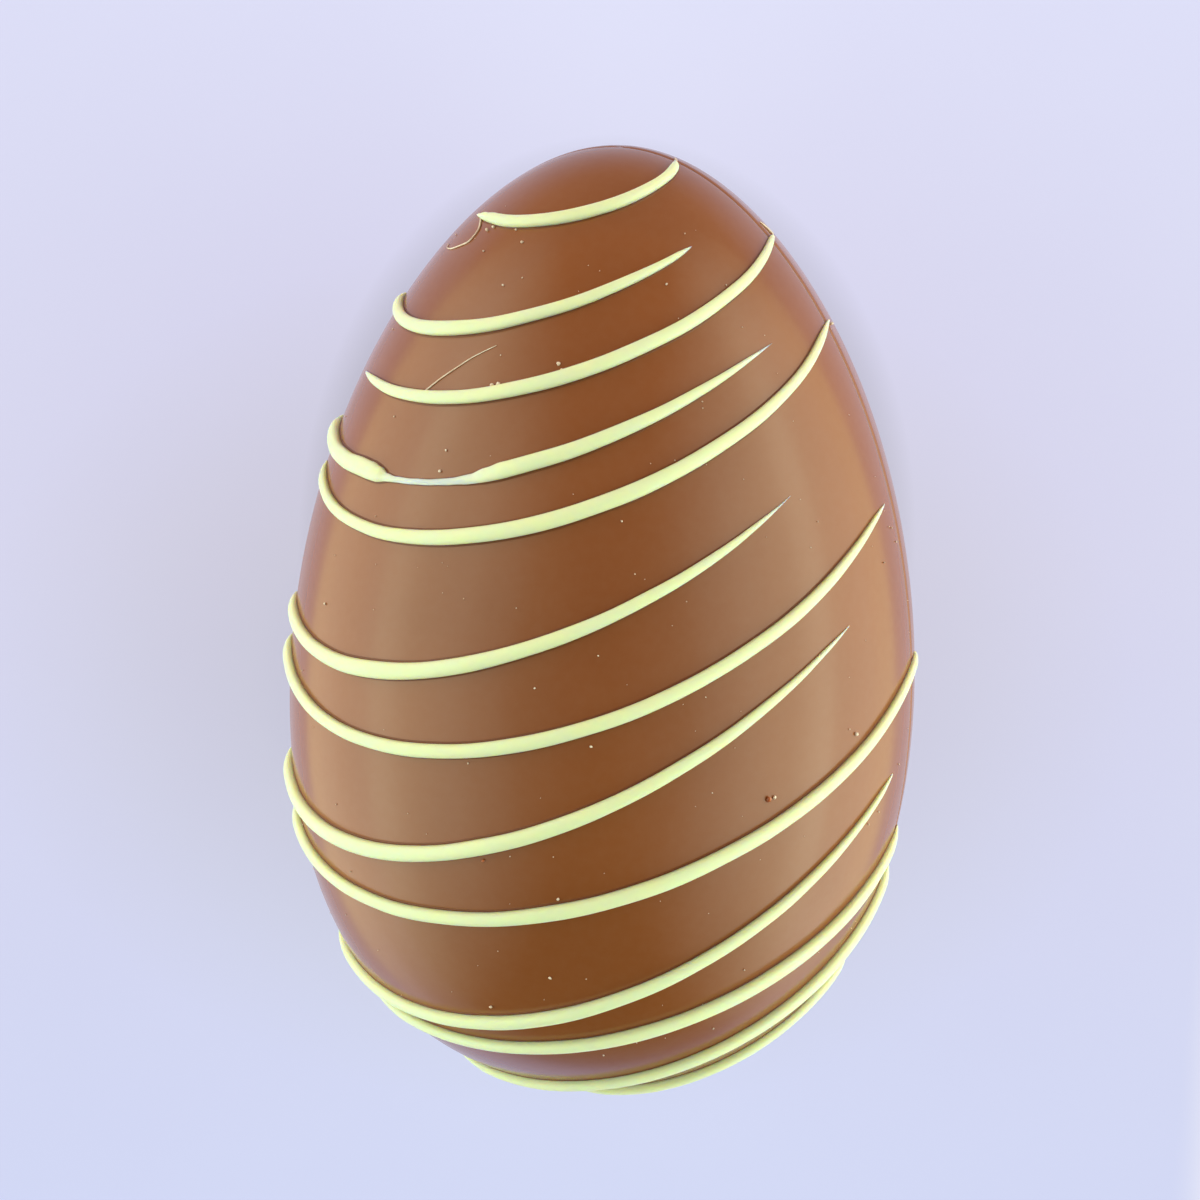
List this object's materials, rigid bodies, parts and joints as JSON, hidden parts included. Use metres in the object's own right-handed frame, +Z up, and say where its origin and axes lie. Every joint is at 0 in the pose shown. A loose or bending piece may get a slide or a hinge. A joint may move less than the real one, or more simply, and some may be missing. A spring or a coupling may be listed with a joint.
{
  "type": "chocolate egg",
  "caption": "Milk chocolate egg of two moulded halves lying on its side, with slanting half-round strands of ivory chocolate piped across it.",
  "frame": {"origin": "middle of the small flat spot that the egg rests on, on the underside of the lower half", "axes": "+Z up, +Y along the egg towards its pointed end, +X to the right; the egg's own axis dips 5 degrees towards the pointed end, as it settles, and the seam is rolled 11.4 degrees about that axis with its +X side up"},
  "size_m": [0.0997, 0.1496, 0.1001],
  "materials": {
    "milk_chocolate": "smooth moulded milk chocolate with a soft gloss",
    "ivory_chocolate": "set ivory white chocolate with a satin gloss"
  },
  "bodies": {
    "root": {"half_top": "milk_chocolate", "half_bottom": "milk_chocolate", "strand_01": "ivory_chocolate", "strand_02": "ivory_chocolate", "strand_03": "ivory_chocolate", "strand_04": "ivory_chocolate", "strand_05": "ivory_chocolate", "strand_06": "ivory_chocolate", "strand_07": "ivory_chocolate", "strand_08": "ivory_chocolate", "strand_09": "ivory_chocolate", "strand_10": "ivory_chocolate", "strand_11": "ivory_chocolate", "strand_12": "ivory_chocolate", "strand_13": "ivory_chocolate"}
  },
  "joints": []
}
